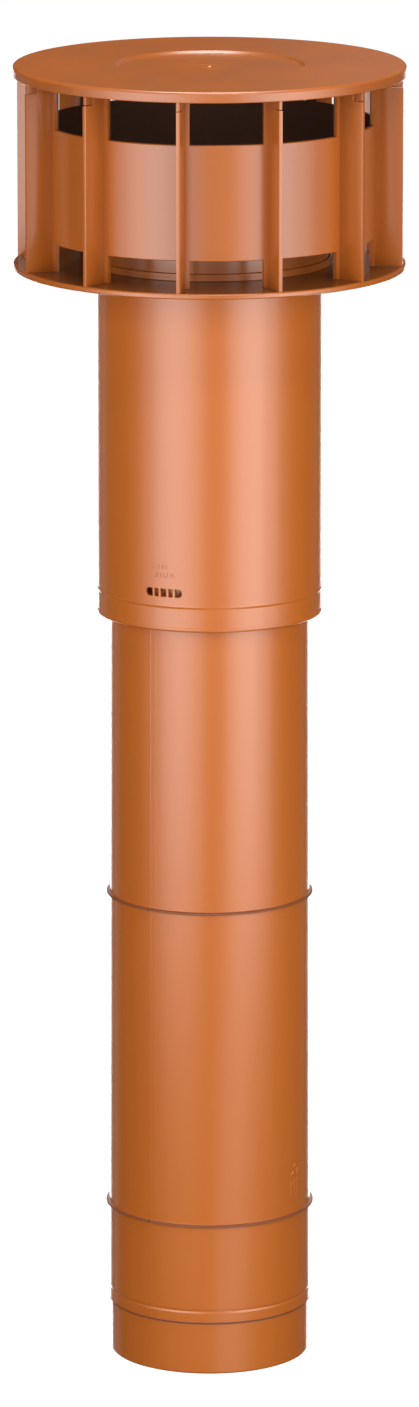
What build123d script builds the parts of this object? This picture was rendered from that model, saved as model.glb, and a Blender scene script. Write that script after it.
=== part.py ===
"""Roof vent hood: a drafted inner vent pipe, an outer sleeve round its upper half, a louvred cage
and a round cap.  Millimetres.  The origin is the middle of the pipe's lower end, +Z is up, and the
ventilation slot in the sleeve faces -Y."""

from build123d import *
import math
import os

# ---- inner vent pipe -------------------------------------------------------------------------
PIPE_RISE = 13.4  # from the hood collar's lip to the open upper end
SPIGOT_OD = 110.4  # the plain end that plugs into a 110 mm socket
SPIGOT_LENGTH = 29.3  # from the end to the stop shoulder
SPIGOT_END_FILLET = 1.2
PIPE_BORE_D = 104.0
PIPE_FOOT_OD = 112.2  # just above the stop shoulder
PIPE_TOP_OD = 108.3  # the mould draft makes the upper end slimmer
SHOULDER_GROOVE_Z = 36.3
SHOULDER_GROOVE_WIDTH = 2.4
SHOULDER_GROOVE_DEPTH = 0.45
LOWER_RING_Z = 85.4
UPPER_RING_Z = 263.2
RING_PROUD = 1.75  # how far a ring stands out from the pipe
RING_TIP_HEIGHT = 0.8
RING_ROOT_HEIGHT = 1.5
PIPE_LIP_FILLET = 0.6

# ---- outer sleeve ----------------------------------------------------------------------------
SLEEVE_BOTTOM_Z = 422.4
SLEEVE_OD = 124.0
SLEEVE_WALL = 2.5
SLEEVE_FLOOR = 3.0  # the inward flange that closes the sleeve onto the pipe
SLEEVE_FOOT_FILLET = 1.0
SLEEVE_BEAD_ABOVE_FOOT = 13.9
SLEEVE_BEAD_HEIGHT = 2.2
SLEEVE_BEAD_PROUD = 0.35
SLOT_ABOVE_FOOT = 21.2  # middle of the ventilation slot
SLOT_CELLS = (4.1, 2.5, 3.4, 2.5, 4.1)  # the open cells' widths, end to end
SLOT_BAR_WIDTH = 1.2
SLOT_HEIGHT = 4.4

# ---- hood cage -------------------------------------------------------------------------------
HOOD_OD = 215.0  # across the bottom plate
HOOD_HEIGHT = 109.0  # from the plate's top face to the cap's
PLATE_TOP_Z = 617.0
PLATE_THICKNESS = 2.9
PLATE_EDGE_FILLET = 0.7
COLLAR_WALL = 2.4
COLLAR_SOCKET_DEPTH = 15.0  # how far the sleeve reaches up into the collar
COLLAR_LIP = 2.5  # thickness of the stop lip over the sleeve's upper end
COLLAR_STEP_WIDTH = 2.2
COLLAR_STEP_HEIGHT = 3.9
BAFFLE_OD = 182.4
BAFFLE_WALL = 2.5
BAFFLE_GAP = 15.1  # from the plate's top face to the baffle wall's lower edge
BAFFLE_HEIGHT = 62.9
VANE_COUNT = 12
VANE_THICKNESS = 2.2
VANE_INSET = 1.0  # how far the vanes' outer edges stand back from the plate's edge
POST_WIDTH = 2.4  # the strip of baffle beside a vane, above and below the wall

# ---- cap -------------------------------------------------------------------------------------
CAP_INSET = 0.1  # how much smaller the cap is all round than the plate
CAP_WALL = 3.0
CAP_RIM_HEIGHT = 6.0
CAP_RIM_WALL = 2.5
CAP_EDGE_FILLET = 1.8
CAP_RECESS_D = 103.0
CAP_RECESS_DEPTH = 1.5
CAP_RECESS_SLOPE = 1.6
LUG_DROP = 4.7  # how far the lugs reach below the rim
LUG_LENGTH = 5.6
LUG_THICKNESS = 1.8
LUG_SETBACK = 1.2  # from the rim's outside to the lugs' outer ends

# ---- fits ------------------------------------------------------------------------------------
SLIDE_CLEARANCE = 0.15  # radial, where one tube slides over another
LUG_GAP = 0.35  # between the lugs and the vanes' rebates

# ---- what follows from the sizes above -------------------------------------------------------
SLEEVE_TOP_Z = PLATE_TOP_Z - PLATE_THICKNESS + COLLAR_SOCKET_DEPTH
PIPE_TOP_Z = SLEEVE_TOP_Z + COLLAR_LIP + PIPE_RISE
BAFFLE_BOTTOM_Z = PLATE_TOP_Z + BAFFLE_GAP
BAFFLE_TOP_Z = BAFFLE_BOTTOM_Z + BAFFLE_HEIGHT
CAP_TOP_Z = PLATE_TOP_Z + HOOD_HEIGHT
CAP_OD = HOOD_OD - 2 * CAP_INSET
SLOT_WIDTH = sum(SLOT_CELLS) + SLOT_BAR_WIDTH * (len(SLOT_CELLS) - 1)

FACING = -90.0  # the direction that the slot and one window look in, degrees
VANE_PITCH = 360.0 / VANE_COUNT
BAY_ANGLES = [FACING + i * VANE_PITCH for i in range(VANE_COUNT)]
VANE_ANGLES = [angle + VANE_PITCH / 2 for angle in BAY_ANGLES]


def pipe_radius(z):
    """Outer radius of the drafted pipe at a height above the stop shoulder."""
    share = (z - SPIGOT_LENGTH) / (PIPE_TOP_Z - SPIGOT_LENGTH)
    return (PIPE_FOOT_OD + (PIPE_TOP_OD - PIPE_FOOT_OD) * share) / 2


def turned(points):
    """The solid swept by a closed outline of (radius, height) points turned about Z."""
    outline = Polyline([(r, 0, z) for r, z in points], close=True)
    return revolve(make_face(outline), Axis.Z)


def tube(outer_r, inner_r, bottom, top):
    return turned([(inner_r, bottom), (outer_r, bottom), (outer_r, top), (inner_r, top)])


def block(r_from, r_to, width, bottom, top, angle):
    """A straight block along the radius at an angle, from one radius to another."""
    size = (r_to - r_from, width, top - bottom)
    centre = Location(((r_from + r_to) / 2, 0, (bottom + top) / 2))
    return Rot(0, 0, angle) * centre * Box(*size)


def circles_at(solid, radius, z):
    """The round edges of a solid at one radius and height."""
    return [
        edge
        for edge in solid.edges().filter_by(GeomType.CIRCLE)
        if abs(edge.radius - radius) < 1e-3 and abs(edge.arc_center.Z - z) < 1e-3
    ]


def ring_points(z):
    """The outline of a ring flange on the pipe, from below it to above it."""
    low, high = z - RING_ROOT_HEIGHT / 2, z + RING_ROOT_HEIGHT / 2
    tip = pipe_radius(z) + RING_PROUD
    return [
        (pipe_radius(low), low),
        (tip, z - RING_TIP_HEIGHT / 2),
        (tip, z + RING_TIP_HEIGHT / 2),
        (pipe_radius(high), high),
    ]


def groove_points():
    """The shallow groove above the stop shoulder."""
    low = SHOULDER_GROOVE_Z - SHOULDER_GROOVE_WIDTH / 2
    high = SHOULDER_GROOVE_Z + SHOULDER_GROOVE_WIDTH / 2
    floor = pipe_radius(SHOULDER_GROOVE_Z) - SHOULDER_GROOVE_DEPTH
    return [(pipe_radius(low), low), (floor, SHOULDER_GROOVE_Z), (pipe_radius(high), high)]


def vent_pipe():
    bore_r, spigot_r = PIPE_BORE_D / 2, SPIGOT_OD / 2
    outline = [(bore_r, 0), (spigot_r, 0), (spigot_r, SPIGOT_LENGTH)]
    outline.append((pipe_radius(SPIGOT_LENGTH), SPIGOT_LENGTH))
    outline += groove_points() + ring_points(LOWER_RING_Z) + ring_points(UPPER_RING_Z)
    outline += [(pipe_radius(PIPE_TOP_Z), PIPE_TOP_Z), (bore_r, PIPE_TOP_Z)]
    pipe = turned(outline)
    pipe = fillet(circles_at(pipe, spigot_r, 0), SPIGOT_END_FILLET)
    return fillet(circles_at(pipe, pipe_radius(PIPE_TOP_Z), PIPE_TOP_Z), PIPE_LIP_FILLET)


def slot_cutter():
    """The ventilation slot: a long round-ended hole, crossed by upright bars."""
    z = SLEEVE_BOTTOM_Z + SLOT_ABOVE_FOOT
    plane = Plane(origin=(0, -SLEEVE_OD / 2 - 1, z), x_dir=(1, 0, 0), z_dir=(0, 1, 0))
    depth = SLEEVE_WALL + 1 + SLEEVE_OD / 2 - math.sqrt((SLEEVE_OD / 2) ** 2 - SLOT_WIDTH**2 / 4)
    hole = extrude(plane * SlotOverall(SLOT_WIDTH, SLOT_HEIGHT), depth + 1)
    x = -SLOT_WIDTH / 2
    for cell in SLOT_CELLS[:-1]:
        x += cell + SLOT_BAR_WIDTH
        bar = Box(SLOT_BAR_WIDTH, SLEEVE_OD, SLOT_HEIGHT * 2)
        hole -= Location((x - SLOT_BAR_WIDTH / 2, -SLEEVE_OD / 2, z)) * bar
    return hole


def outer_sleeve():
    outer_r, bottom, top = SLEEVE_OD / 2, SLEEVE_BOTTOM_Z, SLEEVE_TOP_Z
    floor_top = bottom + SLEEVE_FLOOR
    bead_z = bottom + SLEEVE_BEAD_ABOVE_FOOT
    floor_r = pipe_radius(bottom) + SLIDE_CLEARANCE
    outline = [
        (floor_r, bottom),
        (outer_r, bottom),
        (outer_r, bead_z - SLEEVE_BEAD_HEIGHT / 2),
        (outer_r + SLEEVE_BEAD_PROUD, bead_z),
        (outer_r, bead_z + SLEEVE_BEAD_HEIGHT / 2),
        (outer_r, top),
        (outer_r - SLEEVE_WALL, top),
        (outer_r - SLEEVE_WALL, floor_top),
        (floor_r, floor_top),
    ]
    sleeve = turned(outline)
    sleeve = fillet(circles_at(sleeve, outer_r, bottom), SLEEVE_FOOT_FILLET)
    return sleeve - slot_cutter()


def collar():
    """The socket that drops over the sleeve, with its stop lip and the step round its foot."""
    bore_r = SLEEVE_OD / 2 + SLIDE_CLEARANCE
    outer_r = bore_r + COLLAR_WALL
    stop, top = SLEEVE_TOP_Z, SLEEVE_TOP_Z + COLLAR_LIP
    lip_r = pipe_radius(stop) + SLIDE_CLEARANCE
    step_top = PLATE_TOP_Z + COLLAR_STEP_HEIGHT
    outline = [
        (bore_r, PLATE_TOP_Z - PLATE_THICKNESS),
        (outer_r + COLLAR_STEP_WIDTH, PLATE_TOP_Z - PLATE_THICKNESS),
        (outer_r + COLLAR_STEP_WIDTH, step_top),
        (outer_r, step_top),
        (outer_r, top),
        (lip_r, top),
        (lip_r, stop),
        (bore_r, stop),
    ]
    return turned(outline)


def bay_cutter(bottom, top, angle):
    """The opening between two posts of the baffle, in one bay between vanes."""
    outer_r = BAFFLE_OD / 2
    half_bay = outer_r * math.sin(math.radians(VANE_PITCH / 2))
    width = 2 * (half_bay - VANE_THICKNESS / 2 - POST_WIDTH)
    middle_r = outer_r * math.cos(math.radians(VANE_PITCH / 2))
    return block(middle_r - 3 * BAFFLE_WALL, outer_r + BAFFLE_WALL, width, bottom, top, angle)


def vane(angle):
    """One upright vane, rebated at its outer top corner for a lug of the cap."""
    outer_r = HOOD_OD / 2 - VANE_INSET
    inner_r = BAFFLE_OD / 2 - BAFFLE_WALL / 2
    under_cap = CAP_TOP_Z - CAP_WALL
    rebate_r = CAP_OD / 2 - LUG_SETBACK - LUG_LENGTH - LUG_GAP
    rebate_z = CAP_TOP_Z - CAP_RIM_HEIGHT - LUG_DROP - LUG_GAP
    lower = block(inner_r, outer_r, VANE_THICKNESS, PLATE_TOP_Z, rebate_z, angle)
    return lower + block(inner_r, rebate_r, VANE_THICKNESS, rebate_z, under_cap, angle)


def hood_cage():
    under_cap = CAP_TOP_Z - CAP_WALL
    bore_r = SLEEVE_OD / 2 + SLIDE_CLEARANCE
    plate = tube(HOOD_OD / 2, bore_r, PLATE_TOP_Z - PLATE_THICKNESS, PLATE_TOP_Z)
    for z in (PLATE_TOP_Z, PLATE_TOP_Z - PLATE_THICKNESS):
        plate = fillet(circles_at(plate, HOOD_OD / 2, z), PLATE_EDGE_FILLET)
    baffle = tube(BAFFLE_OD / 2, BAFFLE_OD / 2 - BAFFLE_WALL, PLATE_TOP_Z, under_cap)
    for angle in BAY_ANGLES:
        baffle -= bay_cutter(PLATE_TOP_Z, BAFFLE_BOTTOM_Z, angle)
        baffle -= bay_cutter(BAFFLE_TOP_Z, under_cap, angle)
    cage = plate + collar() + baffle
    for angle in VANE_ANGLES:
        cage += vane(angle)
    return cage


def cap_disc():
    outer_r, under_cap = CAP_OD / 2, CAP_TOP_Z - CAP_WALL
    rim_bottom = CAP_TOP_Z - CAP_RIM_HEIGHT
    rim_inner_r = outer_r - CAP_RIM_WALL
    recess_r = CAP_RECESS_D / 2
    recess_floor_r = recess_r - CAP_RECESS_SLOPE
    outline = [
        (0, CAP_TOP_Z - CAP_RECESS_DEPTH),
        (recess_floor_r, CAP_TOP_Z - CAP_RECESS_DEPTH),
        (recess_r, CAP_TOP_Z),
        (outer_r, CAP_TOP_Z),
        (outer_r, rim_bottom),
        (rim_inner_r, rim_bottom),
        (rim_inner_r, under_cap),
        (recess_r, under_cap),
        (recess_floor_r, under_cap - CAP_RECESS_DEPTH),
        (0, under_cap - CAP_RECESS_DEPTH),
    ]
    cap = turned(outline)
    cap = fillet(circles_at(cap, outer_r, CAP_TOP_Z), CAP_EDGE_FILLET)
    lug_outer_r = outer_r - LUG_SETBACK
    for angle in VANE_ANGLES:
        lug = block(
            lug_outer_r - LUG_LENGTH,
            lug_outer_r,
            LUG_THICKNESS,
            rim_bottom - LUG_DROP,
            under_cap,
            angle,
        )
        cap += lug
    return cap


SUBPARTS = {
    "vent_pipe": vent_pipe,
    "outer_sleeve": outer_sleeve,
    "hood_cage": hood_cage,
    "cap_disc": cap_disc,
}

os.makedirs("parts", exist_ok=True)
for name, make in SUBPARTS.items():
    export_step(make(), f"parts/{name}.step")
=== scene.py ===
"""Looks for the roof vent hood: finely turned skins over the four CAD nodes, one moulded plastic
in several finishes and with painted shade, soft studio light and the camera.  Sizes are in
millimetres unless they say metres; heights are above the pipe's lower end and angles are measured
from -Y towards +X."""

import bmesh
import bpy
import math
from mathutils import Matrix, Vector
from mathutils.geometry import delaunay_2d_cdt


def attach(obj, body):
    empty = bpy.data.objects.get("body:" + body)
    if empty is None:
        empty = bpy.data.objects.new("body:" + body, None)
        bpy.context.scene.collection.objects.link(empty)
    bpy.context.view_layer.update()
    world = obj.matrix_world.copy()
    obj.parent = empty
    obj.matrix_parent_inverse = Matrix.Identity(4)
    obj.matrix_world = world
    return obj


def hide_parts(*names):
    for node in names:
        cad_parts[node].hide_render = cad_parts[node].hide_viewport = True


MM = 0.001
SHARP_ANGLE = 38.0  # edges that bend more than this stay sharp

# ---- sizes shared with the CAD part ----------------------------------------------------------
SLIDE_CLEARANCE = 0.15
PIPE_TOP = 645.0
PIPE_BORE_R = 52.0
SPIGOT_R = 55.2
SPIGOT_LENGTH = 29.3
PIPE_FOOT_R = 56.1
PIPE_HEAD_R = 54.15
GROOVE_Z, GROOVE_HALF, GROOVE_DEPTH = 36.3, 1.2, 0.45
RING_HEIGHTS = (85.4, 263.2)
RING_PROUD = 1.75
SLEEVE_FOOT, SLEEVE_TOP = 422.4, 629.1
SLEEVE_R, SLEEVE_WALL, SLEEVE_FLOOR = 62.0, 2.5, 3.0
BEAD_Z, BEAD_HALF, BEAD_PROUD = 436.3, 1.1, 0.35
SLOT_Z, SLOT_HEIGHT, SLOT_BAR = 443.6, 4.4, 1.2
SLOT_CELLS = (4.1, 2.5, 3.4, 2.5, 4.1)
SLOT_WIDTH = sum(SLOT_CELLS) + SLOT_BAR * (len(SLOT_CELLS) - 1)
PLATE_BOTTOM, PLATE_TOP, PLATE_R = 614.1, 617.0, 107.5
COLLAR_BORE_R, COLLAR_R, STEP_R = SLEEVE_R + SLIDE_CLEARANCE, 64.55, 66.75
STEP_TOP, COLLAR_TOP = 620.9, 631.6
BAFFLE_R, BAFFLE_INNER_R = 91.2, 88.7
BAFFLE_BOTTOM, BAFFLE_TOP = 632.1, 695.0
UNDER_CAP, CAP_TOP, CAP_R = 723.0, 726.0, 107.4
RIM_BOTTOM, RIM_INNER_R = 720.0, 104.9
RECESS_R, RECESS_FLOOR_R, RECESS_DEPTH = 51.5, 49.9, 1.5
VANES, VANE_THICKNESS, VANE_OUTER_R = 12, 2.2, 106.5
REBATE_R, REBATE_Z = 100.25, 714.95
LUG_INNER_R, LUG_OUTER_R, LUG_BOTTOM, LUG_THICKNESS = 100.3, 106.2, 715.3, 1.8
POST_EDGE = math.degrees(math.asin(20.105 / BAFFLE_R))  # half of a window, seen from the axis

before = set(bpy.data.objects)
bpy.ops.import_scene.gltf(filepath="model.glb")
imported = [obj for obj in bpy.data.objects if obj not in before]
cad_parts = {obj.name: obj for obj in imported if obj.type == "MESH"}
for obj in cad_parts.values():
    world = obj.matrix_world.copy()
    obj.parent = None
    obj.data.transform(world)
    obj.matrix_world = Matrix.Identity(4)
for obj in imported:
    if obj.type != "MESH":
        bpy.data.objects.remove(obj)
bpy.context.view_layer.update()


def pipe_r(z):
    """The drafted outside of the pipe."""
    share = (z - SPIGOT_LENGTH) / (PIPE_TOP - SPIGOT_LENGTH)
    return PIPE_FOOT_R + (PIPE_HEAD_R - PIPE_FOOT_R) * share


def at(radius, angle, z):
    """A point in metres from a radius and height in mm and an angle in degrees from -Y."""
    a = math.radians(angle)
    return Vector((radius * math.sin(a), -radius * math.cos(a), z)) * MM


# ---- outlines --------------------------------------------------------------------------------
def rounded(corners, closed=True):
    """An outline of (radius, height) from corners of (radius, height, rounding), with a support
    point on each side of a rounding so that flat faces shade flat."""
    out = []
    n = len(corners)
    for i, (r, z, size) in enumerate(corners):
        here = Vector((r, z))
        if size <= 0 or (not closed and i in (0, n - 1)):
            out.append(here)
            continue
        before = Vector(corners[i - 1][:2]) - here
        after = Vector(corners[(i + 1) % n][:2]) - here
        half = before.angle(after) / 2
        reach = min(size / math.tan(half), 0.45 * before.length, 0.45 * after.length)
        bend = reach * math.tan(half)
        a, b = before.normalized(), after.normalized()
        centre = here + (a + b).normalized() * (bend / math.sin(half))
        start, end = here + a * reach - centre, here + b * reach - centre
        steps = max(2, round(math.degrees(start.angle(end)) / (18 if size > 0.6 else 30)))
        pad = min(reach * 0.5, 0.3)
        if reach + pad < 0.49 * before.length:
            out.append(here + a * (reach + pad))
        turn = math.atan2(start.x * end.y - start.y * end.x, start.dot(end))
        for k in range(steps + 1):
            out.append(centre + Matrix.Rotation(turn * k / steps, 2) @ start)
        if reach + pad < 0.49 * after.length:
            out.append(here + b * (reach + pad))
    return [(p.x, p.y) for p in out]


def divided(outline, longest, closed=True):
    """The outline with its long stretches cut into equal parts."""
    out = []
    n = len(outline)
    for i in range(n if closed else n - 1):
        a, b = Vector(outline[i]), Vector(outline[(i + 1) % n])
        cuts = max(1, math.ceil((b - a).length / longest))
        out += [tuple(a.lerp(b, k / cuts)) for k in range(cuts)]
    if not closed:
        out.append(outline[-1])
    return out


def even(count, extra=()):
    """Column angles all the way round, with extra ones put in."""
    angles = {round(i * 360.0 / count, 5) for i in range(count)}
    angles |= {round(a % 360.0, 5) for a in extra}
    return sorted(angles)


# ---- meshes ----------------------------------------------------------------------------------
def lathe(bm, outline, angles, closed=True, around=True, shape=None, skip=None):
    """Turns an outline about Z through column angles.  shape(radius, z, angle) may move a point,
    and skip(outline index, column index) leaves a face out."""
    columns = []
    for angle in angles:
        column = []
        for r, z in outline:
            if r < 1e-6:
                if not columns:
                    column.append(bm.verts.new((0, 0, z * MM)))
                else:
                    column.append(columns[0][len(column)])
                continue
            point = shape(r, z, angle) if shape else (r, z)
            column.append(bm.verts.new(at(point[0], angle, point[1])))
        columns.append(column)
    rows = len(outline) if closed else len(outline) - 1
    for i in range(len(columns) if around else len(columns) - 1):
        left, right = columns[i], columns[(i + 1) % len(columns)]
        for j in range(rows):
            if skip and skip(j, i):
                continue
            k = (j + 1) % len(outline)
            corners = []
            for v in (left[j], right[j], right[k], left[k]):
                if v not in corners:
                    corners.append(v)
            if len(corners) > 2:
                bm.faces.new(corners)
    return columns


def cap_ends(bm, columns):
    """Closes the two ends of a partly turned outline."""
    bm.faces.new(columns[0])
    bm.faces.new(list(reversed(columns[-1])))


def slab(bm, profile, thickness, angle, bevel):
    """A flat fin: a (radius, height) profile standing along a radius, with bevelled edges."""
    made = bmesh.new()
    turn = Matrix.Rotation(math.radians(angle), 3, "Z")
    sides = []
    for side in (-1, 1):
        sides.append(
            [made.verts.new(turn @ Vector((side * thickness / 2, -r, z)) * MM) for r, z in profile]
        )
    made.faces.new(sides[0])
    made.faces.new(list(reversed(sides[1])))
    n = len(profile)
    for i in range(n):
        j = (i + 1) % n
        made.faces.new((sides[0][j], sides[0][i], sides[1][i], sides[1][j]))
    bmesh.ops.recalc_face_normals(made, faces=made.faces)
    edges = list(made.edges)
    bmesh.ops.bevel(made, geom=edges, offset=bevel * MM, segments=2, profile=0.5, affect="EDGES")
    merge_into(bm, made)


def merge_into(bm, made):
    """Adds one mesh to another and drops it."""
    mesh = bpy.data.meshes.new("part")
    made.to_mesh(mesh)
    made.free()
    bm.from_mesh(mesh)
    bpy.data.meshes.remove(mesh)


def stroke(bm, radius, points, width, height):
    """A shallow raised stroke on a round wall through (angle, height) points.  radius is a
    function of height."""
    made = bmesh.new()
    rows = []
    flat = [Vector((math.radians(a) * radius(z), z)) for a, z in points]
    for i, p in enumerate(flat):
        ahead = flat[min(i + 1, len(flat) - 1)] - flat[max(i - 1, 0)]
        across = Vector((-ahead.y, ahead.x)).normalized()
        row = []
        for side, lift in ((-1, -0.06), (-0.55, height), (0.55, height), (1, -0.06)):
            q = p + across * (side * width / 2)
            r = radius(q.y)
            row.append(made.verts.new(at(r + lift, math.degrees(q.x / r), q.y)))
        rows.append(row)
    for a, b in zip(rows, rows[1:]):
        for k in range(3):
            made.faces.new((a[k], a[k + 1], b[k + 1], b[k]))
        made.faces.new((a[3], a[0], b[0], b[3]))
    made.faces.new(rows[0])
    made.faces.new(list(reversed(rows[-1])))
    bmesh.ops.recalc_face_normals(made, faces=made.faces)
    merge_into(bm, made)


def bridge(bm, a, b):
    """Joins two rings of corners by a band of faces."""
    for i in range(len(a)):
        j = (i + 1) % len(a)
        bm.faces.new((a[i], a[j], b[j], b[i]))


def spot(bm, radius, angle, z, size, height):
    """A small round raised mark on a round wall."""
    made = bmesh.new()
    corners = 10
    centre = math.radians(angle) * radius(z)
    rings = []
    for share, lift in ((1.0, -0.05), (0.75, height * 0.8), (0.4, height)):
        ring = []
        reach = size * share / 2
        for k in range(corners):
            t = k * math.tau / corners
            q = Vector((centre + math.cos(t) * reach, z + math.sin(t) * reach))
            r = radius(q.y)
            ring.append(made.verts.new(at(r + lift, math.degrees(q.x / r), q.y)))
        rings.append(ring)
    for a, b in zip(rings, rings[1:]):
        bridge(made, a, b)
    made.faces.new(rings[-1])
    bmesh.ops.recalc_face_normals(made, faces=made.faces)
    merge_into(bm, made)


def finish_piece(bm, name, node, material):
    """Turns the mesh into a named piece that stands for a CAD node."""
    bmesh.ops.recalc_face_normals(bm, faces=bm.faces)
    limit = math.radians(SHARP_ANGLE)
    for face in bm.faces:
        face.smooth = True
    for edge in bm.edges:
        edge.smooth = not (len(edge.link_faces) == 2 and edge.calc_face_angle(0) > limit)
    mesh = bpy.data.meshes.new(name)
    bm.to_mesh(mesh)
    bm.free()
    piece = bpy.data.objects.new(name, mesh)
    bpy.context.scene.collection.objects.link(piece)
    mesh.materials.append(material)
    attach(piece, "root")
    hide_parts(node)
    return piece


# ---- the moulded plastic ---------------------------------------------------------------------
class Nodes:
    """A small helper that adds and links shader nodes."""

    def __init__(self, material):
        material.use_nodes = True
        self.tree = material.node_tree
        self.shader = self.tree.nodes["Principled BSDF"]
        self.place = self.add("ShaderNodeTexCoord").outputs["Object"]

    def add(self, kind, **settings):
        node = self.tree.nodes.new(kind)
        for key, value in settings.items():
            setattr(node, key, value)
        return node

    def link(self, source, target):
        self.tree.links.new(source, target)

    def scaled(self, stretch):
        node = self.add("ShaderNodeMapping")
        node.inputs["Scale"].default_value = stretch
        self.link(self.place, node.inputs["Vector"])
        return node.outputs["Vector"]

    def noise(self, scale, detail, roughness, stretch=(1, 1, 1)):
        node = self.add("ShaderNodeTexNoise")
        node.inputs["Scale"].default_value = scale
        node.inputs["Detail"].default_value = detail
        node.inputs["Roughness"].default_value = roughness
        self.link(self.scaled(stretch), node.inputs["Vector"])
        return node.outputs["Fac"]

    def spread(self, value, low, high, out_low=0.0, out_high=1.0):
        """Goes from out_low to out_high while the value goes from low to high."""
        node = self.add("ShaderNodeMapRange", clamp=True)
        for key, number in zip((1, 2, 3, 4), (low, high, out_low, out_high)):
            node.inputs[key].default_value = number
        self.link(value, node.inputs[0])
        return node.outputs[0]

    def band(self, value, rise, fall):
        """1 between a soft step up and a soft step down, each given as (start, end)."""
        return self.math("MULTIPLY", self.spread(value, *rise), self.spread(value, *fall, 1.0, 0.0))

    def math(self, operation, a, b=None):
        node = self.add("ShaderNodeMath", operation=operation)
        for socket, value in zip(node.inputs, (a, b)):
            if value is None:
                continue
            if isinstance(value, (int, float)):
                socket.default_value = value
            else:
                self.link(value, socket)
        return node.outputs[0]

    def mix(self, factor, a, b):
        node = self.add("ShaderNodeMix", data_type="RGBA")
        for key, value in ((0, factor), (6, a), (7, b)):
            if isinstance(value, (int, float)):
                node.inputs[key].default_value = value
            elif isinstance(value, tuple):
                node.inputs[key].default_value = (*value, 1.0)
            else:
                self.link(value, node.inputs[key])
        return node.outputs[2]

    def height(self):
        node = self.add("ShaderNodeSeparateXYZ")
        self.link(self.place, node.inputs[0])
        return node.outputs["Z"]

    def radius(self):
        flat = self.add("ShaderNodeVectorMath", operation="MULTIPLY")
        flat.inputs[1].default_value = (1, 1, 0)
        self.link(self.place, flat.inputs[0])
        length = self.add("ShaderNodeVectorMath", operation="LENGTH")
        self.link(flat.outputs[0], length.inputs[0])
        return length.outputs["Value"]

    def bump(self, height, distance, strength):
        node = self.add("ShaderNodeBump")
        node.inputs["Strength"].default_value = strength
        node.inputs["Distance"].default_value = distance
        self.link(height, node.inputs["Height"])
        return node.outputs["Normal"]


# plastic in its middle, deeper and paler tones, stains, painted shade inside the hood and painted
# shade in the creases
BASE = (0.425, 0.1060, 0.0110)
DEEP = (0.390, 0.0930, 0.0090)
PALE = (0.460, 0.1280, 0.0210)
DULL = (0.300, 0.0830, 0.0200)
SHADE = (0.085, 0.0260, 0.0030)
CREASE_SHADE = (0.110, 0.0260, 0.0030)


def inside_hood(n):
    """1 inside the baffle, from above the collar up to the underside of the cap, where shade is
    painted.
    """
    wall, under = BAFFLE_INNER_R * MM, UNDER_CAP * MM
    near = n.spread(n.radius(), wall + 0.0003, wall + 0.0013, 1.0, 0.0)
    between = n.band(n.height(), (0.636, 0.652), (under + 0.0005, under + 0.0010))
    return n.math("MULTIPLY", near, between)


def plate_face(n):
    """1 on the top face of the bottom plate, fading out towards its rim, where shade is painted
    under the cap.
    """
    top = PLATE_TOP * MM
    face = n.band(n.height(), (top - 0.0003, top - 0.0001), (top + 0.0001, top + 0.0006))
    return n.math("MULTIPLY", face, n.spread(n.radius(), 0.1045, 0.1063, 1.0, 0.0))


def crease(n, z):
    """A line round the piece at a height, where shade is painted into the crease."""
    off = n.math("ABSOLUTE", n.math("SUBTRACT", n.height(), z * MM))
    return n.spread(off, 0.0005, 0.0011, 0.75, 0.0)


def scratches(n, turn, fine, length):
    """Thin straight scratches at an angle across the cap.  fine and length are the noise's
    scales across and along them."""
    rotate = n.add("ShaderNodeVectorRotate", rotation_type="Z_AXIS")
    rotate.inputs["Angle"].default_value = math.radians(turn)
    n.link(n.place, rotate.inputs["Vector"])
    stretch = n.add("ShaderNodeMapping")
    stretch.inputs["Scale"].default_value = (length, fine, 1.0)
    n.link(rotate.outputs[0], stretch.inputs["Vector"])
    node = n.add("ShaderNodeTexNoise")
    node.inputs["Scale"].default_value = 1.0
    node.inputs["Detail"].default_value = 2.0
    n.link(stretch.outputs["Vector"], node.inputs["Vector"])
    return n.spread(node.outputs["Fac"], 0.66, 0.76)


def worn(n, colour):
    """Dull stains and pale scratches.  Returns the colour and the mask of the scratches."""
    stain = n.spread(n.noise(28.0, 5.0, 0.6, (1.0, 0.6, 1.0)), 0.4, 0.64)
    colour = n.mix(n.math("MULTIPLY", stain, 0.75), colour, DULL)
    rub = n.math("MAXIMUM", scratches(n, 20, 900, 16), scratches(n, -38, 1100, 22))
    return n.mix(n.math("MULTIPLY", rub, 0.45), colour, PALE), rub


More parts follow.
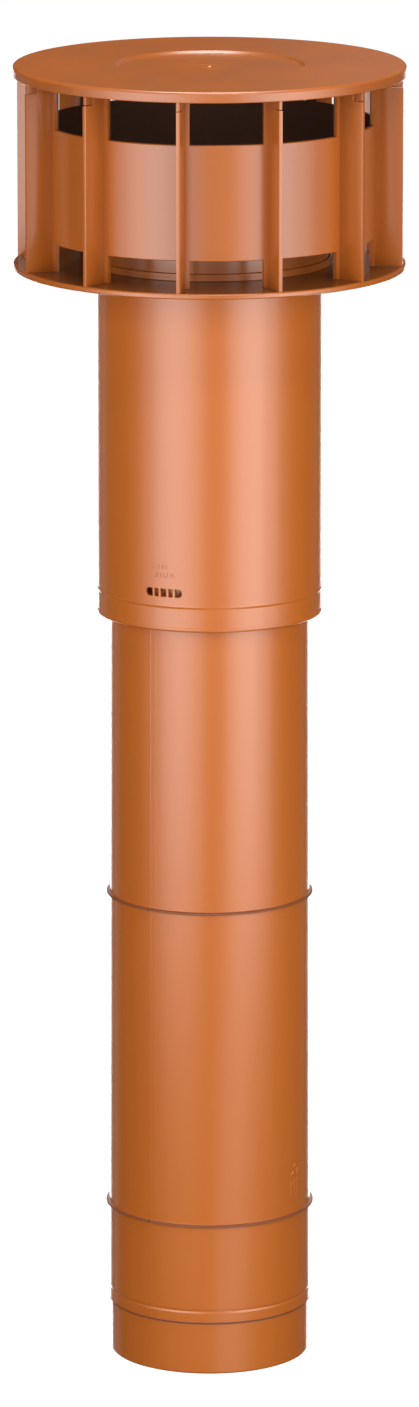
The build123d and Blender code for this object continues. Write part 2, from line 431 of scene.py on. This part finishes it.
def plastic(name, roughness=0.265, painted_shade_tone=1.0, hood=False, cap=False, lines=()):
    """The moulded plastic.  The tone factor darkens all of it as painted shade, hood paints shade
    inside the hood and on the plate's top, cap adds wear, and lines are the heights of creases with
    painted shade and a duller finish."""
    material = bpy.data.materials.new(name)
    n = Nodes(material)
    n.shader.inputs["IOR"].default_value = 1.49
    n.shader.inputs["Specular IOR Level"].default_value = 0.75
    n.shader.inputs["Roughness"].default_value = roughness
    base, deep, pale = (tuple(painted_shade_tone * part for part in shade) for shade in (BASE, DEEP, PALE))
    cloud = n.spread(n.noise(9.0, 2.0, 0.45, (1, 1, 0.45)), 0.2, 0.8)
    colour = n.mix(cloud, deep, base)
    streak = n.spread(n.noise(30.0, 1.0, 0.4, (1, 1, 0.04)), 0.15, 0.85, 0.0, 0.45)
    colour = n.mix(streak, colour, pale)
    rougher = []
    if cap:
        colour, rub = worn(n, colour)
        rougher.append((rub, 0.12))
    if hood:
        # paint shade inside the hood and on the plate's top under the cap
        inner = inside_hood(n)
        colour = n.mix(inner, colour, SHADE)
        colour = n.mix(n.math("MULTIPLY", plate_face(n), 0.75), colour, SHADE)
        rougher.append((inner, 0.5))
    # paint shade into the creases at the rings and the spigot's shoulder, with a duller finish there
    # too
    for z in lines:
        line = crease(n, z)
        colour = n.mix(line, colour, CREASE_SHADE)
        rougher.append((line, 0.5))
    n.link(colour, n.shader.inputs["Base Color"])
    level = roughness
    for mask, amount in rougher:
        level = n.math("ADD", n.math("MULTIPLY", mask, amount), level)
    if rougher:
        n.link(level, n.shader.inputs["Roughness"])
    skin = n.bump(n.noise(1400.0, 2.0, 0.5), 0.00003, 0.3)
    n.link(skin, n.shader.inputs["Normal"])
    return material


# ---- the inner pipe --------------------------------------------------------------------------
SEAMS = (-12.2, -9.0, 167.8, 171.0)
SEAM_HALF, SEAM_PROUD = 0.3, 0.075  # degrees, mm
RING_NICK, NICK_HALF = -12.0, 0.7
FOOT_NICKS = ((-11.0, 0.5), (69.0, 0.45))  # angle and height
FOOT_NICK_HALF = 0.5


def spigot_or_pipe_r(z):
    return SPIGOT_R if z < SPIGOT_LENGTH else pipe_r(z)


def apart(angle, place):
    """How many degrees apart two angles are."""
    return abs((angle - place + 180.0) % 360.0 - 180.0)


def ring_corners(z):
    tip = pipe_r(z) + RING_PROUD
    return [
        (pipe_r(z - 0.75), z - 0.75, 0.3),
        (tip, z - 0.4, 0.25),
        (tip, z + 0.4, 0.25),
        (pipe_r(z + 0.75), z + 0.75, 0.3),
    ]


def pipe_shape(r, z, angle):
    """Puts the seams, the nick in each ring and the nicks in the foot on the outside."""
    if r < PIPE_BORE_R + 1.5:
        return r, z
    on_wall = abs(z - SPIGOT_LENGTH) > 0.4 and r < pipe_r(max(z, SPIGOT_LENGTH)) + 0.05
    if on_wall:
        for seam in SEAMS:
            r += SEAM_PROUD * max(0.0, 1 - apart(angle, seam) / SEAM_HALF)
    for ring in RING_HEIGHTS:
        if abs(z - ring) < 0.9 and apart(angle, RING_NICK) < NICK_HALF:
            share = 1 - apart(angle, RING_NICK) / NICK_HALF
            r += (pipe_r(z) - r) * min(1.0, 1.4 * share)
    for place, high in FOOT_NICKS:
        if z < 1.3 and apart(angle, place) < FOOT_NICK_HALF:
            z = max(z, high * (1 - apart(angle, place) / FOOT_NICK_HALF))
    return r, z


def make_pipe(material):
    corners = [
        (PIPE_BORE_R, 0, 0.4),
        (SPIGOT_R, 0, 1.2),
        (SPIGOT_R, SPIGOT_LENGTH, 0.12),
        (pipe_r(SPIGOT_LENGTH), SPIGOT_LENGTH, 0.3),
        (pipe_r(GROOVE_Z - GROOVE_HALF), GROOVE_Z - GROOVE_HALF, 1.2),
        (pipe_r(GROOVE_Z) - 0.6 * GROOVE_DEPTH, GROOVE_Z, 1.2),
        (pipe_r(GROOVE_Z + GROOVE_HALF), GROOVE_Z + GROOVE_HALF, 2.4),
    ]
    for z in RING_HEIGHTS:
        corners += ring_corners(z)
    corners += [(pipe_r(PIPE_TOP), PIPE_TOP, 0.6), (PIPE_BORE_R, PIPE_TOP, 0.5)]
    steps = (-NICK_HALF, -SEAM_HALF, 0.0, SEAM_HALF, NICK_HALF)
    places = (*SEAMS, FOOT_NICKS[1][0], RING_NICK)
    extra = [place + step for place in places for step in steps]
    bm = bmesh.new()
    lathe(bm, divided(rounded(corners), 22.0), even(300, extra), shape=pipe_shape)
    # moulding marks, as strokes that spell nothing
    for angle, z in ((-42.5, 31.6), (-40.6, 27.6), (83.5, 27.0)):
        points = [(angle - 1.1, z + 0.25), (angle + 1.1, z - 0.25)]
        stroke(bm, spigot_or_pipe_r, points, 0.8, 0.35)
    stroke(bm, spigot_or_pipe_r, [(-3.4, 28.5), (-1.2, 28.5)], 0.6, 0.15)
    stroke(bm, pipe_r, [(-14.6, 259.6), (-13.6, 258.6), (-12.9, 259.8)], 0.6, 0.35)
    for angle, low, high in ((78.2, 96.5, 104.5), (81.2, 99.0, 105.4), (84.4, 97.2, 105.8)):
        stroke(bm, pipe_r, [(angle, low), (angle + 0.2, high)], 0.6, 0.3)
    stroke(bm, pipe_r, [(78.4, 108.2), (80.5, 109.6), (82.6, 108.8)], 0.6, 0.3)
    stroke(bm, pipe_r, [(80.6, 112.4), (82.2, 113.8)], 0.6, 0.3)
    stroke(bm, pipe_r, [(84.0, 108.4), (85.6, 111.0)], 0.6, 0.3)
    for angle, z in ((76.5, 118.0), (60.0, 122.0), (36.0, 104.0)):
        spot(bm, pipe_r, angle, z, 1.4, 0.1)
    return finish_piece(bm, "vent_pipe_skin", "vent_pipe", material)


# ---- the outer sleeve ------------------------------------------------------------------------
PATCH_HALF_Z = 5.0
PATCH_COLUMNS = 10  # on each side of the slot's middle
SLEEVE_COLUMNS = 288
SLOT_RIM = 0.22  # how far the slot's edges are broken
FOOT_BAND, FOOT_PROUD = 2.0, 0.28


def slot_cells():
    """The middles and half widths of the slot's open cells."""
    cells, x = [], -SLOT_WIDTH / 2
    for width in SLOT_CELLS:
        cells.append((x + width / 2, width / 2))
        x += width + SLOT_BAR
    return cells


def cell_outline(middle, half, grow):
    """One open cell as (x, z) points: square inner corners, a round end on the outermost."""
    half_z = SLOT_HEIGHT / 2 + grow
    x0, x1 = middle - half - grow, middle + half + grow
    points = []
    for x, sign in ((x1, 1), (x0, -1)):
        outermost = abs(x) > SLOT_WIDTH / 2 - 0.05
        radius = half_z if outermost else 0.35 + grow / 2
        steps = 12 if outermost else 3
        for end in (-1, 1) if sign > 0 else (1, -1):
            cx, cz = x - sign * radius, end * (half_z - radius)
            for k in range(steps + 1):
                if outermost and k == 0 and end == sign:
                    continue
                t = k / steps * math.pi / 2
                if end != sign:
                    t = math.pi / 2 - t
                x_out, z_out = sign * radius * math.cos(t), end * radius * math.sin(t)
                points.append((cx + x_out, SLOT_Z + cz + z_out))
    return points


def inside(point, outline):
    """Whether a point lies inside a closed outline."""
    x, z = point
    hit = False
    for i, (x0, z0) in enumerate(outline):
        x1, z1 = outline[i - 1]
        if (z0 > z) != (z1 > z) and x < (x1 - x0) * (z - z0) / (z1 - z0) + x0:
            hit = not hit
    return hit


def slot_wall(bm, radius, cells):
    """The stretch of round wall about the slot, with the cells left open.  Returns each cell's
    ring of corners."""
    step = math.radians(360.0 / SLEEVE_COLUMNS)
    xs = [radius * math.sin(i * step) for i in range(-PATCH_COLUMNS, PATCH_COLUMNS + 1)]
    low, high = SLOT_Z - PATCH_HALF_Z, SLOT_Z + PATCH_HALF_Z
    border = [(x, low) for x in xs] + [(x, high) for x in reversed(xs)]
    points, edges = list(border), [(i, (i + 1) % len(border)) for i in range(len(border))]
    for cell in cells:
        first = len(points)
        points += cell
        edges += [(first + i, first + (i + 1) % len(cell)) for i in range(len(cell))]
    points += [(x, z) for x in xs[1:-1] for z in (low + 1.3, high - 1.3)]
    points += [(x, z) for x in (xs[1], xs[-2]) for z in (SLOT_Z - 1.2, SLOT_Z + 1.2)]
    flat = [Vector(point) for point in points]
    corners, _, triangles, merged, _, _ = delaunay_2d_cdt(flat, edges, [], 0, 1e-6)
    verts = []
    for x, z in corners:
        verts.append(bm.verts.new(Vector((x, -math.sqrt(radius * radius - x * x), z)) * MM))
    place = {old: verts[new] for new, olds in enumerate(merged) for old in olds}
    for triangle in triangles:
        middle = sum((corners[i] for i in triangle), Vector((0, 0))) / len(triangle)
        if not any(inside(middle, cell) for cell in cells):
            bm.faces.new([verts[i] for i in triangle])
    rings, first = [], len(border)
    for cell in cells:
        rings.append([place[first + i] for i in range(len(cell))])
        first += len(cell)
    return rings


def make_sleeve(material):
    floor_r = pipe_r(SLEEVE_FOOT) + SLIDE_CLEARANCE
    inner_r = SLEEVE_R - SLEEVE_WALL
    low, high = SLOT_Z - PATCH_HALF_Z, SLOT_Z + PATCH_HALF_Z
    corners = [
        (floor_r, SLEEVE_FOOT, 0.2),
        (SLEEVE_R + FOOT_PROUD, SLEEVE_FOOT, 1.3),
        (SLEEVE_R + FOOT_PROUD, SLEEVE_FOOT + FOOT_BAND, 0.5),
        (SLEEVE_R, SLEEVE_FOOT + FOOT_BAND + 0.6, 0.6),
        (SLEEVE_R, BEAD_Z - BEAD_HALF, 0.8),
        (SLEEVE_R + BEAD_PROUD, BEAD_Z, 0.35),
        (SLEEVE_R, BEAD_Z + BEAD_HALF, 0.8),
        (SLEEVE_R, low, 0),
        (SLEEVE_R, high, 0),
        (SLEEVE_R, SLEEVE_TOP, 0.3),
        (inner_r, SLEEVE_TOP, 0.3),
        (inner_r, high, 0),
        (inner_r, low, 0),
        (inner_r, SLEEVE_FOOT + SLEEVE_FLOOR, 0.5),
        (floor_r, SLEEVE_FOOT + SLEEVE_FLOOR, 0.2),
    ]
    outline = divided(rounded(corners), 22.0)
    middle = SLEEVE_COLUMNS // 2
    angles = [i * 360.0 / SLEEVE_COLUMNS for i in range(-middle, middle)]

    def at_slot(j, i):
        """The faces that slot_wall makes instead."""
        ends = sorted((outline[j][1], outline[(j + 1) % len(outline)][1]))
        between = abs(ends[0] - low) < 0.01 and abs(ends[1] - high) < 0.01
        return between and -PATCH_COLUMNS <= i - middle < PATCH_COLUMNS

    bm = bmesh.new()
    lathe(bm, outline, angles, skip=at_slot)
    add_slot(bm, inner_r)
    add_slot_marks(bm)
    return finish_piece(bm, "outer_sleeve_skin", "outer_sleeve", material)


def add_slot(bm, inner_r):
    """The wall about the slot, outside and inside, and the faces through the slot."""
    outer_cells = [cell_outline(m, h, SLOT_RIM) for m, h in slot_cells()]
    inner_cells = [cell_outline(m, h, 0.0) for m, h in slot_cells()]
    outer_rings = slot_wall(bm, SLEEVE_R, outer_cells)
    inner_rings = slot_wall(bm, inner_r, inner_cells)
    for outer, inner, cell in zip(outer_rings, inner_rings, inner_cells):
        lip = []
        for x, z in cell:
            depth = math.sqrt(SLEEVE_R * SLEEVE_R - x * x) - SLOT_RIM
            lip.append(bm.verts.new(Vector((x, -depth, z)) * MM))
        bridge(bm, outer, lip)
        bridge(bm, lip, inner)
    bmesh.ops.remove_doubles(bm, verts=bm.verts, dist=0.002 * MM)


def sleeve_r(z):
    return SLEEVE_R


def add_slot_marks(bm):
    """Two rows of shallow moulding marks over the slot, as strokes that spell nothing."""
    for angle, tilt in ((-2.3, 0.0), (-0.6, 0.25), (1.6, -0.15)):
        stroke(bm, sleeve_r, [(angle, 456.9), (angle + tilt, 459.1)], 0.7, 0.42)
    for angle, tilt in ((-3.6, 0.5), (-1.7, 0.0), (0.2, -0.4), (2.1, 0.45), (4.2, 0.0), (5.6, -0.4)):
        stroke(bm, sleeve_r, [(angle - tilt, 452.1), (angle + tilt, 454.5)], 0.7, 0.42)
    stroke(bm, sleeve_r, [(-6.4, 456.9), (-4.9, 457.2)], 0.6, 0.22)
    stroke(bm, sleeve_r, [(-9.2, 450.4), (-8.9, 449.2)], 0.6, 0.22)


# ---- the hood cage ---------------------------------------------------------------------------
WALL_STEP = 1.1  # degrees to a column
CAP_GAP = 0.02  # how far the posts and vanes stop below the cap
ROOT_FILLET = 0.75  # the fillet between a vane and the plate


def wall_piece(bm, from_angle, to_angle, bottom, top, round_top, round_bottom, ends):
    """A stretch of the round baffle wall, with its ends closed where ends is true."""
    corners = [
        (BAFFLE_INNER_R, bottom, round_bottom),
        (BAFFLE_R, bottom, round_bottom),
        (BAFFLE_R, top, round_top),
        (BAFFLE_INNER_R, top, round_top),
    ]
    steps = max(2, round((to_angle - from_angle) / WALL_STEP))
    angles = [from_angle + (to_angle - from_angle) * k / steps for k in range(steps + 1)]
    columns = lathe(bm, rounded(corners), angles, around=False)
    if ends:
        cap_ends(bm, columns)


def make_cage(material):
    bm = bmesh.new()
    lip_r = pipe_r(SLEEVE_TOP) + SLIDE_CLEARANCE
    corners = [
        (COLLAR_BORE_R, PLATE_BOTTOM, 0.3),
        (PLATE_R, PLATE_BOTTOM, 0.8),
        (PLATE_R, PLATE_TOP, 0.9),
        (STEP_R, PLATE_TOP, 0.5),
        (STEP_R, STEP_TOP, 0.45),
        (COLLAR_R, STEP_TOP, 0.3),
        (COLLAR_R, COLLAR_TOP, 0.5),
        (lip_r, COLLAR_TOP, 0.4),
        (lip_r, SLEEVE_TOP, 0.1),
        (COLLAR_BORE_R, SLEEVE_TOP, 0.1),
    ]
    lathe(bm, divided(rounded(corners), 14.0), even(360))
    bay = 360.0 / VANES
    top = UNDER_CAP - CAP_GAP
    fin = [
        (BAFFLE_R - 1.2, PLATE_TOP - 0.8),
        (VANE_OUTER_R, PLATE_TOP - 0.8),
        (VANE_OUTER_R, REBATE_Z),
        (REBATE_R, REBATE_Z),
        (REBATE_R, top),
        (BAFFLE_R - 1.2, top),
    ]
    half_post = bay / 2 - POST_EDGE
    for i in range(VANES):
        middle = i * bay
        left, right = middle - POST_EDGE, middle + POST_EDGE
        wall_piece(bm, left, right, BAFFLE_BOTTOM, BAFFLE_TOP, 0.8, 0.5, False)
        angle = middle + bay / 2
        left, right = angle - half_post, angle + half_post
        wall_piece(bm, left, right, PLATE_TOP - 0.6, top, 0, 0, True)
        slab(bm, fin, VANE_THICKNESS, angle, 0.2)
        for side in (-1, 1):
            root_fillet(bm, angle, side)
    return finish_piece(bm, "hood_cage_skin", "hood_cage", material)


def root_fillet(bm, angle, side):
    """The small moulded fillet between one side of a vane and the plate."""
    turn = Matrix.Rotation(math.radians(angle), 3, "Z")
    rows = []
    for r in (BAFFLE_R - 0.5, VANE_OUTER_R - 1.0):
        row = []
        for k in range(5):
            t = k / 4 * math.pi / 2
            x = VANE_THICKNESS / 2 - 0.05 + ROOT_FILLET * (1 - math.sin(t))
            z = PLATE_TOP - 0.05 + ROOT_FILLET * (1 - math.cos(t))
            row.append(bm.verts.new(turn @ Vector((side * x, -r, z)) * MM))
        rows.append(row)
    for k in range(4):
        bm.faces.new((rows[0][k], rows[0][k + 1], rows[1][k + 1], rows[1][k]))


# ---- the cap ---------------------------------------------------------------------------------
def make_cap(material):
    floor = CAP_TOP - RECESS_DEPTH
    corners = [
        (0, floor + 0.55, 0),
        (1.3, floor + 0.55, 0.3),
        (1.9, floor + 0.05, 0.2),
        (6.8, floor, 0.1),
        (7.3, floor + 0.18, 0.1),
        (7.9, floor, 0.1),
        (RECESS_FLOOR_R, floor, 0.5),
        (RECESS_R, CAP_TOP, 0.7),
        (CAP_R, CAP_TOP, 1.8),
        (CAP_R, RIM_BOTTOM, 0.5),
        (RIM_INNER_R, RIM_BOTTOM, 0.4),
        (RIM_INNER_R, UNDER_CAP, 0.8),
        (RECESS_R, UNDER_CAP, 0.5),
        (RECESS_FLOOR_R, UNDER_CAP - RECESS_DEPTH, 0.5),
        (0, UNDER_CAP - RECESS_DEPTH, 0),
    ]
    bm = bmesh.new()
    lathe(bm, divided(rounded(corners, closed=False), 9.0, closed=False), even(360), closed=False)
    lug = [
        (LUG_INNER_R, LUG_BOTTOM),
        (LUG_OUTER_R, LUG_BOTTOM),
        (LUG_OUTER_R, UNDER_CAP + 0.5),
        (LUG_INNER_R, UNDER_CAP + 0.5),
    ]
    for i in range(VANES):
        slab(bm, lug, LUG_THICKNESS, (i + 0.5) * 360.0 / VANES, 0.15)
    return finish_piece(bm, "cap_disc_skin", "cap_disc", material)


make_pipe(plastic("pipe_plastic", hood=True, lines=(*RING_HEIGHTS, SPIGOT_LENGTH)))
make_sleeve(plastic("sleeve_plastic"))
# the cage and the cap get a darker tone: painted shade for the weaker light up at the hood
make_cage(plastic("cage_plastic", roughness=0.27, hood=True, painted_shade_tone=0.83))
make_cap(plastic("cap_plastic", roughness=0.32, hood=True, cap=True, painted_shade_tone=0.86))


# ---- floor, light and camera -----------------------------------------------------------------
CAMERA_TURN = 24.1
CAMERA_FAR, CAMERA_HIGH = 4315.7, 1346.7
CAMERA_TILT = 11.152  # degrees down
SENSOR = 36.0  # its height, from which the lens follows
CAMERA_FOCAL = 5.686  # of the picture's height
CAMERA_SHIFT = (-0.0001, -0.160)
AMBIENT = 0.05
# the lights' places and sizes are in metres
LIGHT_DISTANCE = 1.3
BANK_HEIGHT, UPPER_BANK_Z, LOWER_BANK_Z = 1.35, 0.625, -0.725


def make_floor():
    """A white floor that the camera sees and that leaves the part's light alone."""
    bpy.ops.mesh.primitive_plane_add(size=60, location=(0, 0, 0))
    floor = bpy.context.object
    floor.name = "floor"
    material = bpy.data.materials.new("floor_white")
    material.use_nodes = True
    shader = material.node_tree.nodes["Principled BSDF"]
    shader.inputs["Base Color"].default_value = (0.12, 0.12, 0.12, 1)
    shader.inputs["Roughness"].default_value = 0.9
    shader.inputs["Specular IOR Level"].default_value = 0.0
    shader.inputs["Emission Color"].default_value = (1, 1, 1, 1)
    shader.inputs["Emission Strength"].default_value = 1.0
    floor.data.materials.append(material)
    floor.visible_glossy = False
    floor.visible_diffuse = False
    floor.visible_shadow = False


def softbox(name, azimuth, distance, width, height, z, radiance):
    """A rectangular light that faces the part's axis.  Radiance is relative to paper white."""
    light = bpy.data.lights.new(name, "AREA")
    light.shape = "RECTANGLE"
    light.size, light.size_y = width, height
    light.energy = radiance * math.pi * width * height
    lamp = bpy.data.objects.new(name, light)
    bpy.context.scene.collection.objects.link(lamp)
    a = math.radians(azimuth)
    lamp.location = (distance * math.sin(a), -distance * math.cos(a), z)
    lamp.rotation_euler = (math.pi / 2, 0, a)
    lamp.visible_camera = False
    return lamp


def make_world(ambient):
    """White to the camera and a dim fill to everything else."""
    world = bpy.data.worlds.new("studio")
    bpy.context.scene.world = world
    world.use_nodes = True
    tree = world.node_tree
    seen = tree.nodes["Background"]
    seen.inputs["Color"].default_value = (1, 1, 1, 1)
    fill = tree.nodes.new("ShaderNodeBackground")
    fill.inputs["Color"].default_value = (1, 1, 1, 1)
    fill.inputs["Strength"].default_value = ambient
    path = tree.nodes.new("ShaderNodeLightPath")
    mix = tree.nodes.new("ShaderNodeMixShader")
    tree.links.new(path.outputs["Is Camera Ray"], mix.inputs[0])
    tree.links.new(fill.outputs[0], mix.inputs[1])
    tree.links.new(seen.outputs[0], mix.inputs[2])
    tree.links.new(mix.outputs[0], tree.nodes["World Output"].inputs[0])


def make_camera():
    camera = bpy.data.cameras.new("camera")
    camera.sensor_fit = "VERTICAL"
    camera.sensor_width = camera.sensor_height = SENSOR
    camera.lens = CAMERA_FOCAL * SENSOR
    camera.shift_x, camera.shift_y = CAMERA_SHIFT
    camera.clip_start, camera.clip_end = 0.05, 100.0
    holder = bpy.data.objects.new("camera", camera)
    bpy.context.scene.collection.objects.link(holder)
    holder.location = at(CAMERA_FAR, CAMERA_TURN, CAMERA_HIGH)
    holder.rotation_euler = (math.radians(90 - CAMERA_TILT), 0, math.radians(CAMERA_TURN))
    bpy.context.scene.camera = holder


# angle from the camera, angle across, and the brightness of the upper and lower half
BANKS = (
    (-80, 15, 0.2, 0.0),
    (-65, 15, 1.3, 0.0),
    (-50, 14, 3.4, 0.0),
    (-37, 12, 4.3, 0.0),
    (-25, 12, 3.7, 0.1),
    (-13, 12, 2.4, 0.1),
    (0, 13, 0.5, 0.2),
    (13, 12, 0.5, 0.9),
    (25, 12, 2.8, 0.9),
    (37, 12, 4.3, 0.7),
    (50, 14, 4.5, 0.1),
    (65, 15, 2.5, 0.0),
    (80, 15, 0.4, 0.0),
)


def make_lights():
    """Two broad banks of soft light in front, fading towards the floor, a big soft light
    overhead, four upright ones and a dim one behind, and a tilted one for the cap's edge."""
    for turn, across, upper, lower in BANKS:
        azimuth = CAMERA_TURN + turn
        width = 2 * LIGHT_DISTANCE * math.tan(math.radians(across / 2))
        size = (width, BANK_HEIGHT)
        softbox(f"bank_{turn}", azimuth, LIGHT_DISTANCE, *size, UPPER_BANK_Z, upper)
        if lower:
            softbox(f"low_{turn}", azimuth, LIGHT_DISTANCE, *size, LOWER_BANK_Z, lower)
    overhead = softbox("overhead", 0, 0.0, 0.8, 0.8, 2.0, 12.0)
    overhead.rotation_euler = (0, 0, 0)
    for turn, radiance in ((-168, 6.0), (168, 6.0), (-138, 0.3), (138, 0.12)):
        softbox(f"rear_{turn}", CAMERA_TURN + turn, LIGHT_DISTANCE, 0.42, 1.25, 0.0, radiance)
    edge = softbox("cap_edge", CAMERA_TURN + 14, 1.05, 0.7, 0.2, 1.78, 10.0)
    edge.rotation_euler.x = math.radians(45)
    softbox("back", CAMERA_TURN + 160, 1.7, 1.1, 0.8, 1.25, 0.16)


make_floor()
make_world(AMBIENT)
make_lights()
make_camera()
bpy.context.scene.view_settings.view_transform = "Standard"
